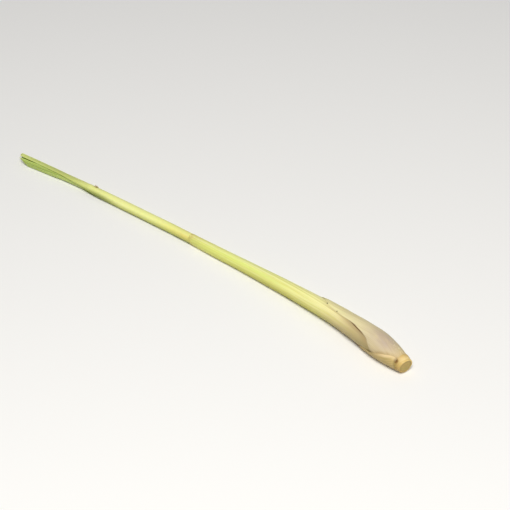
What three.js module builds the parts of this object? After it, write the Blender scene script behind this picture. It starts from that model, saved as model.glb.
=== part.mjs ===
// A trimmed lemongrass stalk lying on its side: a short solid stem with a cut foot, and the five leaves
// that grow from it. Each leaf is rolled round the next one as a sheath, and the inner three open into
// blades at the tips. Millimetres, +Z up: the cut foot points to +X, the trimmed tips point to -X, and
// the underside lies on z = 0.
import * as THREE from "three";

const { degToRad, euclideanModulo, lerp, smoothstep: ramp } = THREE.MathUtils;

// Places along the stalk, as distances from the cut foot.
const nodeAt = 4.2; // the ring that the outermost leaf grows from
const stemShoulderAt = 31; // where the stem narrows to its growing tip
const stemTipAt = 60;
const firstCollarAt = 209; // where the main sheath ends
const secondCollarAt = 314; // where the sheath inside it turns into a blade
const tipsAt = 388; // the trimmed ends of the blades, within a few millimetres
const pastTips = 400; // the curves below run on to here

const gap = 0.3; // free space between one piece and the next
const marginThickness = 0.62; // a leaf at its two long edges
const collarRing = { height: 0.3, width: 2.5 };
const footSlant = { rise: 0.14, towards: 20 }; // the foot is cut a little longer on its far upper side
const midribRidge = { height: 0.35, flatTo: 2, endsAt: 9 }; // on a blade's back, in degrees from its middle

// Round sections have a corner every cornerStep degrees. The first one is where nested sections line up.
const cornerStep = 15;
const firstCorner = 5;

// A rolled leaf turns from a sheath into a blade while these shares of its full wrap are given up.
const unrolled = { from: 0.1, to: 0.4 };

// A leaf whose outer edge runs slantwise keeps its other corners in place up to here, in degrees from its
// midrib, and spreads this many more between there and that edge.
const steadyTo = 106;
const movingCorners = 5;

// How the two edges of a sheath lie on each other, in degrees round it from its midrib.
const lap = {
  thinFrom: 100, // the leaf thins towards its edges from here
  thinTo: 150,
  climbFrom: 110, // the outer half lifts from here
  climbTo: 170, // and lies on the inner edge
  reach: 190, // both edges end here, 10 degrees past the meeting line
  settledAt: 230, // the leaf outside it no longer shows the step
  buttedReach: 170, // both edges end here lower down, where they don't meet
  grows: 22, // the distance along the stalk over which the outer half lifts, and then the edges close
};

// Curves along the stalk, as [along, value] points.
const bow = through([
  [0, -0.4], [35, 4.8], [79, 9.8], [118, 11.6], [160, 12], [217, 11.4], [270, 9.4], [320, 6.6], [360, 3.7],
  [pastTips, 0.4],
]);
const axisHeight = through([
  [0, 6.6], [4, 7.2], [9, 8.05], [14, 8.5], [20, 8.85], [27, 9.1], [35, 8.9], [45, 8.75], [58, 8.2],
  [72, 7.65], [88, 7], [104, 6.2], [120, 5.75], [140, 5.15], [160, 4.6], [190, 4.1], [217, 4], [232, 3.9],
  [250, 3.7], [300, 3.65], [320, 3.45], [340, 3.2], [360, 2.9], [pastTips, 2.4],
]);
const secondLeafRadius = through([
  [0, 4.7], [4, 5.35], [9, 6.35], [14, 7.2], [20, 7.95], [27, 8.25], [35, 8.05], [45, 7.7], [58, 7.05],
  [72, 6.6], [88, 6.3], [104, 5.85], [120, 5.5], [140, 5], [160, 4.6], [190, 4.15], [217, 4.05], [235, 4.3],
  [250, 4.5], [300, 4.5], [320, 4.3], [340, 4.15], [pastTips, 4.15],
]);
const leafThickness = through([
  [0, 0.75], [45, 0.75], [100, 0.65], [150, 0.62], [310, 0.62], [330, 0.68], [pastTips, 0.68],
]);
const stubRadius = through([[0, 5.4], [0.5, 5.65], [2, 5.95], [nodeAt, 6.35]]);
const stemTipRadius = through([[stemShoulderAt, 2.9], [45, 2.1], [stemTipAt, 0.6]]);
const rollBore = through([
  [stemShoulderAt, 3.2], [45, 2.4], [stemTipAt, 0.9], [64, 0.45], [330, 0.45], [pastTips, 0.7],
]);
const stemTipRings = [stemShoulderAt, 38, 45, 52, stemTipAt - gap];
const bladeDrift = (along) => ramp(along, secondCollarAt + 4, pastTips);

// Every leaf that reaches one of these places has a row of corners there, so that nested leaves fit.
const rows = [
  7.5, 10.5, 14, 19, 25, 31, 37, 44, 52, 62, 74, 90, 104, 120, 138, 158, 171, 184, 203, firstCollarAt, 240,
  270, 300, secondCollarAt - 6, secondCollarAt, secondCollarAt + 6, 330, 344, 358, 373,
];

// layer: 1 for the outermost leaf. winding: which way round its outer edge lies. from: where it grows.
// until: where its rows of corners are laid out to. end: how far it really reaches, by the degrees from its
// midrib. midrib: degrees round the stalk, from the far side (+Y) over the top. opening: the share of the
// full wrap that is left. spread: how much wider than round the wrap has become. drift: how far the blade
// has moved sideways and up at the tips.
const leaves = [
  {
    name: "leaf_1_torn_sheath", color: 0xdccfae, roughness: 0.62,
    layer: 1, winding: -1, from: 4.5, until: 75, lapFrom: -lap.grows,
    midrib: () => 6,
    innerEdge: -194,
    outerEdge: through([
      [6, 237], [8.3, 229], [12, 215], [15.5, 205], [22, 185], [28.5, 170], [32.5, 166], [40, 157],
    ]),
    end: through([
      [-194, 23], [-160, 27], [-150, 29], [-139, 31], [-126, 39], [-119, 45], [-110, 53], [-103, 64],
      [-87, 76], [-40, 83], [6, 90], [51, 80], [96, 60], [131, 49], [180, 42], [230, 36],
    ]),
  },
  {
    name: "leaf_2_main_sheath", color: 0xe6e58a, roughness: 0.45,
    layer: 2, winding: 1, from: 14, until: firstCollarAt, lapFrom: 50,
    midrib: () => 200,
    end: endingNear(firstCollarAt, [[-190, -2], [-60, 3], [0, -3], [70, 1], [190, -1]]),
  },
  {
    name: "leaf_3_sheath_and_blade", color: 0xc6d66a, roughness: 0.45,
    layer: 3, winding: 1, from: 19, until: tipsAt, lapFrom: 160, collar: secondCollarAt,
    midrib: through([[290, 20], [330, 32], [392, 56]]),
    end: endingNear(tipsAt, [[-190, -3], [0, 1.5], [190, -1]]),
    opening: through([[296, 1], [308, 0.85], [316, 0.71], [326, 0.6], [345, 0.43], [363, 0.36], [392, 0.27]]),
    spread: through([[312, 1], [345, 1.2], [392, 1.4]]),
    drift: [0.2, 0.8],
  },
  {
    name: "leaf_4_blade", color: 0x9fb552, roughness: 0.45,
    layer: 4, winding: -1, from: 25, until: tipsAt - 5,
    midrib: through([[300, 200], [345, 204], [392, 214]]),
    end: endingNear(tipsAt, [[-170, -13], [0, -8], [170, 0]]),
    opening: through([[336, 1], [350, 0.68], [392, 0.5]]),
    spread: through([[334, 1], [356, 1.25], [392, 1.5]]),
    drift: [-2, -0.4],
  },
  {
    name: "leaf_5_furled_blade", color: 0xb4c765, roughness: 0.45,
    layer: 5, winding: 1, from: 31.3, until: tipsAt - 1,
    midrib: through([[300, 20], [392, 60]]),
    end: endingNear(tipsAt, [[-170, -2], [0, 0], [170, -3]]),
    opening: through([[325, 1], [350, 0.72], [392, 0.5]]),
    spread: through([[330, 1], [392, 1.5]]),
    drift: [0.3, 0.55],
  },
];
const innermost = leaves.length;

function endingNear(place, offsets) {
  return through(offsets.map(([fromMidrib, offset]) => [fromMidrib, place + offset]));
}

// A smooth curve through points, rising and falling only where they do, and level outside them.
function through(knots) {
  const last = knots.length - 1;
  const secant = (i) => (knots[i + 1][1] - knots[i][1]) / (knots[i + 1][0] - knots[i][0]);
  const slopes = knots.map((_, i) => {
    if (i === 0) return secant(0);
    if (i === last) return secant(last - 1);
    const before = secant(i - 1);
    const after = secant(i);
    return before * after > 0 ? (2 * before * after) / (before + after) : 0;
  });
  return (x) => {
    if (x <= knots[0][0]) return knots[0][1];
    if (x >= knots[last][0]) return knots[last][1];
    const i = knots.findIndex((knot) => knot[0] > x) - 1;
    const width = knots[i + 1][0] - knots[i][0];
    const t = (x - knots[i][0]) / width;
    return (
      knots[i][1] * (1 + 2 * t) * (1 - t) ** 2 +
      knots[i + 1][1] * t * t * (3 - 2 * t) +
      width * (slopes[i] * t * (1 - t) ** 2 + slopes[i + 1] * t * t * (t - 1))
    );
  };
}

function turn(degrees) {
  return new THREE.Vector2(Math.cos(degToRad(degrees)), Math.sin(degToRad(degrees)));
}

// A point of the section at one place along the stalk. It is pressed flat where it would sink below the
// surface that the stalk lies on.
function place(along, section) {
  const slope = (bow(along + 1) - bow(along - 1)) / 2;
  const plan = new THREE.Vector2(-1, slope).normalize();
  const up = Math.max(axisHeight(along) + section.y, 0);
  return new THREE.Vector3(-along + section.x * plan.y, bow(along) - section.x * plan.x, up);
}

// The outer and inner radius of a layer. Each one is a leaf and a gap smaller than the one outside it.
function outerRadius(layer, along) {
  return secondLeafRadius(along) - (layer - 2) * (leafThickness(along) + gap);
}

function bedRadius(layer, along) {
  return layer === innermost ? rollBore(along) : outerRadius(layer, along) - leafThickness(along);
}

// How far the outer edge of a lapped sheath is lifted to lie on its inner edge.
function lapHeight(leaf, along) {
  if (!("lapFrom" in leaf)) return 0;
  return (marginThickness + gap) * ramp(along, leaf.lapFrom, leaf.lapFrom + lap.grows);
}

// How far the lapped edges of the leaves inside a layer push it out, in one direction round the stalk.
function pushedOut(layer, around, along) {
  let sum = 0;
  for (const inner of leaves.slice(layer)) {
    const fromMidrib = euclideanModulo(inner.winding * (around - inner.midrib(along)), 360);
    const rises = ramp(fromMidrib, lap.climbFrom, lap.climbTo);
    const falls = ramp(fromMidrib, lap.reach, lap.settledAt);
    sum += lapHeight(inner, along) * (rises - falls);
  }
  return sum;
}

function steps(from, to) {
  return Array.from({ length: Math.round((to - from) / cornerStep) + 1 }, (_, i) => from + i * cornerStep);
}

// The corners across a leaf, in degrees from its midrib. They keep their places, apart from those near an
// edge that moves.
function across(leaf, along) {
  if (leaf.outerEdge) {
    const step = (leaf.outerEdge(along) - steadyTo) / movingCorners;
    const moving = Array.from({ length: movingCorners }, (_, i) => steadyTo + (i + 1) * step);
    return [...steps(leaf.innerEdge, steadyTo), ...moving];
  }
  const closesFrom = leaf.lapFrom + lap.grows;
  const closing = "lapFrom" in leaf ? ramp(along, closesFrom, closesFrom + lap.grows) : 0;
  const edge = lerp(lap.buttedReach, lap.reach, closing);
  const beforeEdge = (edge + lap.thinTo) / 2;
  const corners = [-edge, -beforeEdge, ...steps(-lap.thinTo, lap.thinTo), beforeEdge, edge];
  const open = leaf.opening ? leaf.opening(along) : 1;
  return corners.map((fromMidrib) => fromMidrib * open);
}

// One corner of a leaf's section: on its back, and on its inner face.
function leafCorner(leaf, fromMidrib, along) {
  const midrib = leaf.midrib(along);
  const around = midrib + leaf.winding * fromMidrib;
  const aside = Math.abs(fromMidrib);
  const isInnermost = leaf.layer === innermost;
  const wrapLost = leaf.opening ? 1 - leaf.opening(along) : 0;
  const blade = ramp(wrapLost, unrolled.from, unrolled.to); // 0 for a sheath, 1 for a blade

  const climb = lapHeight(leaf, along) * ramp(fromMidrib, lap.climbFrom, lap.climbTo);
  const bed = bedRadius(leaf.layer, along) + pushedOut(leaf.layer, around, along) + climb;
  const full = isInnermost ? outerRadius(innermost, along) - rollBore(along) : leafThickness(along);
  const thinned = isInnermost ? blade : ramp(aside, lap.thinFrom, lap.thinTo);
  const thickness = lerp(full, Math.min(full, marginThickness), thinned);
  const fromCollar = leaf.collar ? (along - leaf.collar) / collarRing.width : Infinity;
  const ring = collarRing.height * Math.exp(-(fromCollar ** 2));
  const rib = midribRidge.height * blade * (1 - ramp(aside, midribRidge.flatTo, midribRidge.endsAt));

  const spread = leaf.spread ? leaf.spread(along) : 1;
  const shift = turn(midrib).multiplyScalar(outerRadius(leaf.layer, along) * (1 - spread));
  if (leaf.drift) shift.add(new THREE.Vector2(...leaf.drift).multiplyScalar(bladeDrift(along)));
  const face = (bed + thickness) * spread;
  const at = (radius) => turn(around).multiplyScalar(radius).add(shift);
  return [at(face + ring + rib), at(face - thickness)];
}

// A closed solid from two matching grids of points, row by row along the stalk, both split alike.
function solidBetween(backs, fronts, flipped) {
  const columns = backs[0].length;
  const points = [...backs.flat(), ...fronts.flat()];
  const front = backs.length * columns;
  const faces = [];
  const quad = (a, b, c, d) => faces.push(...(flipped ? [a, c, b, a, d, c] : [a, b, c, a, c, d]));
  for (let row = 0; row < backs.length - 1; row += 1) {
    const first = row * columns;
    const last = first + columns - 1;
    for (let here = first; here < last; here += 1) {
      const next = here + columns;
      quad(here, here + 1, next + 1, next);
      quad(front + next, front + next + 1, front + here + 1, front + here);
    }
    quad(front + first, first, first + columns, front + first + columns);
    quad(last, front + last, front + last + columns, last + columns);
  }
  const top = (backs.length - 1) * columns;
  for (let column = 0; column < columns - 1; column += 1) {
    quad(front + column, front + column + 1, column + 1, column);
    quad(top + column, top + column + 1, front + top + column + 1, front + top + column);
  }
  return geometryOf(points, faces);
}

function geometryOf(points, faces) {
  const geometry = new THREE.BufferGeometry().setFromPoints(points);
  geometry.setIndex(faces);
  geometry.computeVertexNormals();
  return geometry;
}

function leafGeometry(leaf) {
  const between = rows.filter((row) => row > leaf.from + 1 && row < leaf.until - 1);
  const nominalAcross = across(leaf, leaf.from);
  const backs = [];
  const fronts = [];
  for (const row of [leaf.from, ...between, leaf.until]) {
    const share = (row - leaf.from) / (leaf.until - leaf.from);
    const corners = nominalAcross.map((fromMidrib, i) => {
      const along = lerp(leaf.from, leaf.end(fromMidrib), share);
      return leafCorner(leaf, across(leaf, along)[i], along).map((section) => place(along, section));
    });
    backs.push(corners.map((corner) => corner[0]));
    fronts.push(corners.map((corner) => corner[1]));
  }
  return solidBetween(backs, fronts, leaf.winding > 0);
}

// Where a point of the stem lies along the stalk, once the foot is cut at a slant.
function slanted(along, section) {
  const towards = section.dot(turn(footSlant.towards));
  return along - footSlant.rise * towards * (1 - ramp(along, 0, nodeAt));
}

// The stem has a step down inside each leaf, where that leaf grows from it.
function stemRings() {
  const rings = [0, 0.5, 2, nodeAt].map((along) => ({ along, radius: stubRadius(along) }));
  for (let layer = 1; layer < innermost; layer += 1) {
    const start = layer === 1 ? nodeAt : leaves[layer - 1].from;
    const end = Math.min(leaves[layer].from, stemShoulderAt) - gap;
    for (const along of [start, (start + end) / 2, end]) {
      rings.push({ along, radius: outerRadius(layer + 1, along) });
    }
  }
  for (const along of stemTipRings) rings.push({ along, radius: stemTipRadius(along) });
  return rings;
}

function stemGeometry() {
  const sides = 360 / cornerStep;
  const rings = stemRings();
  const points = [place(0, new THREE.Vector2())];
  for (const { along, radius } of rings) {
    for (let side = 0; side < sides; side += 1) {
      const section = turn(firstCorner + side * cornerStep).multiplyScalar(radius);
      points.push(place(slanted(along, section), section));
    }
  }
  points.push(place(stemTipAt, new THREE.Vector2()));

  const faces = [];
  const tip = points.length - 1;
  const lastRing = tip - sides;
  for (let side = 0; side < sides; side += 1) {
    const next = (side + 1) % sides;
    faces.push(0, 1 + side, 1 + next);
    for (let ring = 1; ring < lastRing; ring += sides) {
      faces.push(ring + side, ring + sides + next, ring + next);
      faces.push(ring + side, ring + sides + side, ring + sides + next);
    }
    faces.push(tip, lastRing + next, lastRing + side);
  }
  return geometryOf(points, faces);
}

function piece(name, geometry, color, roughness) {
  const material = new THREE.MeshStandardMaterial({ color, roughness, metalness: 0 });
  const mesh = new THREE.Mesh(geometry, material);
  mesh.name = name;
  return mesh;
}

const stalk = new THREE.Group();
stalk.add(piece("stem", stemGeometry(), 0xd9bf7c, 0.6));
for (const leaf of leaves) stalk.add(piece(leaf.name, leafGeometry(leaf), leaf.color, leaf.roughness));

// The origin is on the surface, under the middle of the stalk's footprint.
const box = new THREE.Box3().setFromObject(stalk);
const middle = box.getCenter(new THREE.Vector3());
stalk.position.set(-middle.x, -middle.y, -box.min.z);

export default stalk;
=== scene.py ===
# A trimmed lemongrass stalk lying on a pale studio floor: the cut solid stem, and five leaves rolled
# round one another, of which the outermost is torn short and the inner three open into cut blades.
# Sizes are millimetres until place() turns them into the frame's metres.
import math

import bpy
import numpy as np
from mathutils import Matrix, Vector


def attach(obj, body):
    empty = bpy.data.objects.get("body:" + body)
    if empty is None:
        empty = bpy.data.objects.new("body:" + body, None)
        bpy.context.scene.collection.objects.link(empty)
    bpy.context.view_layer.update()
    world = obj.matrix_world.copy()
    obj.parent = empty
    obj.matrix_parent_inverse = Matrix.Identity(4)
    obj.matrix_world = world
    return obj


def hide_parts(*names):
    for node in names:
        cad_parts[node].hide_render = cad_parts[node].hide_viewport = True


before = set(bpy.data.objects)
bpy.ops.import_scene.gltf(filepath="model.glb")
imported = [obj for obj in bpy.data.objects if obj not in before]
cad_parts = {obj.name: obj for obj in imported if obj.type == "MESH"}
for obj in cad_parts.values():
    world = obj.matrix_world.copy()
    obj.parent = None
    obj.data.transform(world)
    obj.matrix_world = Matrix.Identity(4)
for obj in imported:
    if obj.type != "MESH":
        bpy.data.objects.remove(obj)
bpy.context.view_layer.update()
millimetre = 0.001
print(f"frame loaded, {len(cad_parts)} nodes")


# "Along" is the distance from the cut foot towards the tips. "Around" is degrees round the stalk, from the
# far side over the top.

def curveThrough(*points):  # smooth through the points, level outside them
    x, y = np.array(points, float).T
    secant = np.diff(y) / np.diff(x)
    slope = np.concatenate([secant[:1], np.zeros(len(x) - 2), secant[-1:]])
    product = secant[:-1] * secant[1:]
    total = np.where(product > 0, secant[:-1] + secant[1:], 1)
    slope[1:-1] = np.where(product > 0, 2 * product / total, 0)

    def value(at):
        at = np.clip(at, x[0], x[-1])
        i = np.clip(np.searchsorted(x, at, side="right") - 1, 0, len(x) - 2)
        width = x[i + 1] - x[i]
        t = (at - x[i]) / width
        bend = slope[i] * t * (1 - t) ** 2 + slope[i + 1] * t * t * (t - 1)
        return y[i] * (1 + 2 * t) * (1 - t) ** 2 + y[i + 1] * t * t * (3 - 2 * t) + width * bend

    return value


def always(value):
    return lambda along: value + 0 * along


def ramp(x, start, end):  # 0 before start, 1 after end, smooth between
    t = np.clip((x - start) / (end - start), 0, 1)
    return t * t * (3 - 2 * t)


def mix(a, b, share):
    return a + (b - a) * share


def wander(at, length, seed):  # a smooth seeded wobble between about -1 and 1
    random = np.random.default_rng(seed)
    total = 0
    for octave in range(4):
        turns = random.uniform(0.7, 1.3) * 2 ** octave / length
        total = total + np.sin(2 * math.pi * (at * turns + random.uniform())) / 2 ** octave
    return total / 1.4


stalk = {
    "firstCollarAt": 209,
    "secondCollarAt": 314,
    "tipsAt": 388,
    "layerPitch": curveThrough(  # from one leaf to the next, closest where the main sheath ends
        (0, 0.72), (170, 0.72), (212, 0.36), (235, 0.62), (255, 0.9), (300, 0.92), (340, 0.98), (400, 0.98)),
    "bulbSwell": 0.33,  # how much fuller the second leaf is in the bulb
    "swellFades": (30, 80),
    "margin": 0.22,  # thickness of a leaf at its long edges
    "marginGap": 0.07,
    "bow": curveThrough(
        (0, -0.4), (35, 4.8), (79, 9.8), (118, 11.6), (160, 12), (217, 11.4), (270, 9.4), (320, 6.6),
        (360, 3.7), (400, 0.4)),
    "axisHeight": curveThrough(
        (0, 6.6), (4, 7.2), (9, 8.05), (14, 8.5), (20, 8.85), (27, 9.1), (35, 8.9), (45, 8.75), (58, 8.2),
        (72, 7.65), (88, 7), (104, 6.2), (120, 5.75), (140, 5.15), (160, 4.6), (190, 4.1), (217, 4),
        (232, 3.9), (250, 3.7), (300, 3.65), (320, 3.45), (340, 3.2), (360, 2.9), (400, 2.4)),
    "secondLeafRadius": curveThrough(
        (0, 4.7), (4, 5.35), (9, 6.35), (14, 7.2), (20, 7.95), (27, 8.25), (35, 8.05), (45, 7.7), (58, 7.05),
        (72, 6.6), (88, 6.3), (104, 5.85), (120, 5.5), (140, 5), (160, 4.6), (190, 4.15), (217, 4.05),
        (235, 4.3), (250, 4.5), (300, 4.5), (320, 4.3), (340, 4.15), (400, 4.15)),
    "nodeAt": 4.2,
    "shoulder": {"height": 0.36, "at": 2.8, "below": 1.9, "above": 4, "around": 50},  # the node's upper side
    "stubRadius": curveThrough((0, 5.4), (0.5, 5.65), (2, 5.95), (4.2, 6.35), (8, 6.95)),
    "footSlant": (0.27, 20),  # how steeply the foot is cut, and the side that it reaches furthest on
    "footInFrame": (194.419, -5.688),  # where the cut foot's middle is, less the bow
}
lap = {"climbFrom": 110, "climbTo": 170, "reach": 190, "settledAt": 230, "buttedReach": 170, "grows": 22}


def place(along, section):  # a section's (sideways, up) at one place along the stalk, as frame metres
    bow = stalk["bow"]
    slope = (bow(along + 1) - bow(along - 1)) / 2
    length = np.sqrt(1 + slope * slope)
    x = stalk["footInFrame"][0] - along + section[0] * slope / length
    y = stalk["footInFrame"][1] + bow(along) + section[0] / length
    z = np.maximum(stalk["axisHeight"](along) + section[1], 0)  # the floor presses it flat
    return np.stack([x, y, z], -1) * millimetre


def outerRadius(layer, along):
    swell = stalk["bulbSwell"] * (1 - ramp(along, *stalk["swellFades"]))
    return stalk["secondLeafRadius"](along) + swell - (layer - 2) * stalk["layerPitch"](along)


def nodeShoulder(along, around):  # the node stands out more on its upper side, and fades into the bulb
    shoulder = stalk["shoulder"]
    upper = 0.5 + 0.5 * np.cos(np.radians(around - shoulder["around"]))
    reach = np.where(along < shoulder["at"], shoulder["below"], shoulder["above"])
    return shoulder["height"] * upper * np.exp(-((along - shoulder["at"]) / reach) ** 2)


def meshPiece(name, grids, faces, maps, material):
    points = np.concatenate([grid.reshape(-1, 3) for grid in grids])
    mesh = bpy.data.meshes.new(name)
    mesh.from_pydata(points.tolist(), [], faces)
    mesh.shade_smooth()
    mesh.set_sharp_from_angle(angle=math.radians(50))
    for mapName, values in maps.items():
        layer = mesh.attributes.new(mapName, "FLOAT_VECTOR", "POINT")
        layer.data.foreach_set("vector", values.astype(np.float32).ravel())
    mesh.materials.append(material)
    piece = bpy.data.objects.new(name, mesh)
    bpy.context.scene.collection.objects.link(piece)
    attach(piece, "root")
    print(f"{name}: {sum(len(face) - 2 for face in faces)} triangles")
    return piece


def closedSheet(rows, columns, flipped):  # quads round two matching grids, back first and then front
    back = np.arange(rows * columns).reshape(rows, columns)
    front = back + rows * columns

    def strip(a, b):  # quads between two matching lines of points
        return np.stack([a[..., :-1], a[..., 1:], b[..., 1:], b[..., :-1]], -1).reshape(-1, 4)

    faces = [
        strip(back[:-1], back[1:]),
        strip(front[1:], front[:-1]),
        strip(back[:, -1], front[:, -1])[:, ::-1],
        strip(front[:, 0], back[:, 0])[:, ::-1],
        strip(front[0], back[0]),
        strip(back[-1], front[-1]),
    ]
    faces = np.concatenate(faces)
    return (faces if flipped else faces[:, ::-1]).tolist()


leaves = {}
leafShape = {
    "thickensOver": 4,  # mm from a long margin to the leaf's full thickness
    "clearance": 0.05,  # between a leaf's lying edge and the leaf inside it
    "lyingMargin": 3.5,  # mm of a bare margin that lie on the leaf inside
    "veinsFrom": (0.3, 2), "veinsRiseOver": 12,  # mm from a margin, and from the leaf's foot
    "rippleSizes": (150, 60),  # degrees round and mm along
    "ringHeight": 0.3, "ringReach": 2.5,  # the swelling at a collar
    "bladeOpens": (0.1, 0.4),  # how far a leaf has opened where its midrib starts and is full
    "ribHeight": 0.35, "ribFalls": (2, 9),  # degrees to either side of the midrib
    "curlReach": 1.2,  # mm of a torn end that curl up
    "driftsFrom": 4, "driftsTo": 400,  # mm past the second collar, and mm along
    "rollHole": 0.6, "rollOpens": (322, 336),  # the innermost leaf is a tight roll, then opens
}


def lapHeight(leaf, along):
    if leaf["lapFrom"] is None:
        return 0 * along
    start = leaf["lapFrom"]
    return (stalk["margin"] + stalk["marginGap"]) * ramp(along, start, start + lap["grows"])


def pushedOut(layer, around, along):  # the lapped edges further in show through as a low ridge
    total = 0 * along
    for inner in leaves.values():
        if inner["layer"] > layer:
            fromMidrib = np.mod(inner["winding"] * (around - inner["midrib"](along)), 360)
            rises = ramp(fromMidrib, lap["climbFrom"], lap["climbTo"])
            falls = ramp(fromMidrib, lap["reach"], lap["settledAt"])
            total = total + lapHeight(inner, along) * (rises - falls)
    return total


def degreesAcross(leaf, share, along):  # share 0 is the inner edge and 1 the outer edge
    if "outerEdge" in leaf:
        steady = mix(leaf["innerEdge"], leaf["steadyTo"], share / leaf["steadyShare"])
        last = (share - leaf["steadyShare"]) / (1 - leaf["steadyShare"])
        moving = mix(leaf["steadyTo"], leaf["outerEdge"](along), last)
        return np.where(share < leaf["steadyShare"], steady, moving)
    closing = 0 * along
    if leaf["lapFrom"] is not None:
        closesFrom = leaf["lapFrom"] + lap["grows"]
        closing = ramp(along, closesFrom, closesFrom + lap["grows"])
    reach = mix(lap["buttedReach"], lap["reach"], closing)
    return (2 * share - 1) * reach * leaf["opening"](along)


def leafSection(leaf, fromMidrib, along, toEnd, toMargin):
    layer = leaf["layer"]
    shape = leafShape
    midrib = leaf["midrib"](along)
    around = midrib + leaf["winding"] * fromMidrib
    aside = np.abs(fromMidrib)
    blade = ramp(1 - leaf["opening"](along), *shape["bladeOpens"])
    lifted = lapHeight(leaf, along) * ramp(fromMidrib, lap["climbFrom"], lap["climbTo"])
    pushed = pushedOut(layer, around, along)

    full = np.minimum(leaf["thickness"], stalk["layerPitch"](along) - stalk["marginGap"])
    thickness = mix(stalk["margin"], full, ramp(toMargin, 0, shape["thickensOver"]))
    thickness = mix(leaf["endThickness"], thickness, ramp(toEnd, 0, leaf["settles"]))
    lying = outerRadius(layer + 1, along) + thickness + shape["clearance"]  # on the leaf inside
    onEdge = 0 * along
    if leaf["edgeSettles"]:  # a bare margin lies so, as a torn end does
        onEdge = ramp(along, *leaf["edgeSettles"]) * (1 - ramp(toMargin, 0, shape["lyingMargin"]))
    free = ramp(toEnd, 0, leaf["settles"]) * (1 - onEdge)
    face = mix(lying, outerRadius(layer, along), free) + lifted * (1 - onEdge) + pushed
    if leaf["rootLength"]:  # the base grows out of the node without a step
        root = stalk["stubRadius"](along) - leaf["rootDepth"] + nodeShoulder(along, around)
        face = mix(root, face, ramp(along - leaf["from"], 0, leaf["rootLength"]))

    veins = np.cos(2 * math.pi * fromMidrib / leaf["veinStep"]) * leaf["veinHeight"]
    veins = veins * ramp(toMargin, *shape["veinsFrom"])
    veins = veins * ramp(along - leaf["from"], 0, shape["veinsRiseOver"])
    roundSize, alongSize = shape["rippleSizes"]
    ripple = leaf["ripple"] * wander(around, roundSize, layer) * wander(along, alongSize, layer + 10)
    ring = 0 * along
    if leaf["collar"]:
        ring = shape["ringHeight"] * np.exp(-((along - leaf["collar"]) / shape["ringReach"]) ** 2)
    rib = shape["ribHeight"] * blade * (1 - ramp(aside, *shape["ribFalls"]))
    curl = leaf["curl"] * np.exp(-toEnd / shape["curlReach"]) * (1 + wander(around, 40, layer + 20))

    spread = leaf["spread"](along)
    radius = outerRadius(layer, along)
    drift = ramp(along, stalk["secondCollarAt"] + shape["driftsFrom"], shape["driftsTo"])
    turned = np.radians(around)
    shift = np.radians(midrib)
    outer = face * spread + ring + rib + veins + ripple + curl
    inner = face * spread - thickness + curl
    if leaf["rolled"]:
        inner = mix(shape["rollHole"], inner, ramp(along, *shape["rollOpens"]))
    middle = [
        np.cos(shift) * radius * (1 - spread) + leaf["drift"][0] * drift,
        np.sin(shift) * radius * (1 - spread) + leaf["drift"][1] * drift,
    ]
    return [
        place(along, (np.cos(turned) * r + middle[0], np.sin(turned) * r + middle[1])) for r in (outer, inner)
    ]


def leafOutline(leaf, columns):  # degrees from the midrib of each column at the foot, and where it ends
    acrossShare = np.linspace(0, 1, columns)
    nominal = degreesAcross(leaf, acrossShare, np.full(columns, float(leaf["from"])))
    end = leaf["end"](nominal)
    return nominal, end, degreesAcross(leaf, acrossShare, end)


def pastTornEdge(along, around):  # mm from the outermost leaf's torn edge, on the leaf inside it
    torn = leaves["leaf_1_torn_sheath"]
    nominal, end, fromMidrib = leafOutline(torn, torn["grid"][1])
    inLeaf = np.mod(torn["midrib"](0) - around - torn["innerEdge"], 360) + torn["innerEdge"]
    arc = np.radians(1) * outerRadius(2, end)
    steepness = np.gradient(end, fromMidrib * arc)
    distance = along - np.interp(inLeaf, fromMidrib, end)
    return distance / np.sqrt(1 + np.interp(inLeaf, fromMidrib, steepness) ** 2)


def aboveLip(leaf, along, around, arc):  # mm from the lapping edge, on the part of the leaf under it
    if "outerEdge" not in leaf:
        return 0 * along
    lip = leaf["midrib"](along) + 360 - leaf["outerEdge"](along)
    return (lip - around) * arc


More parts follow.
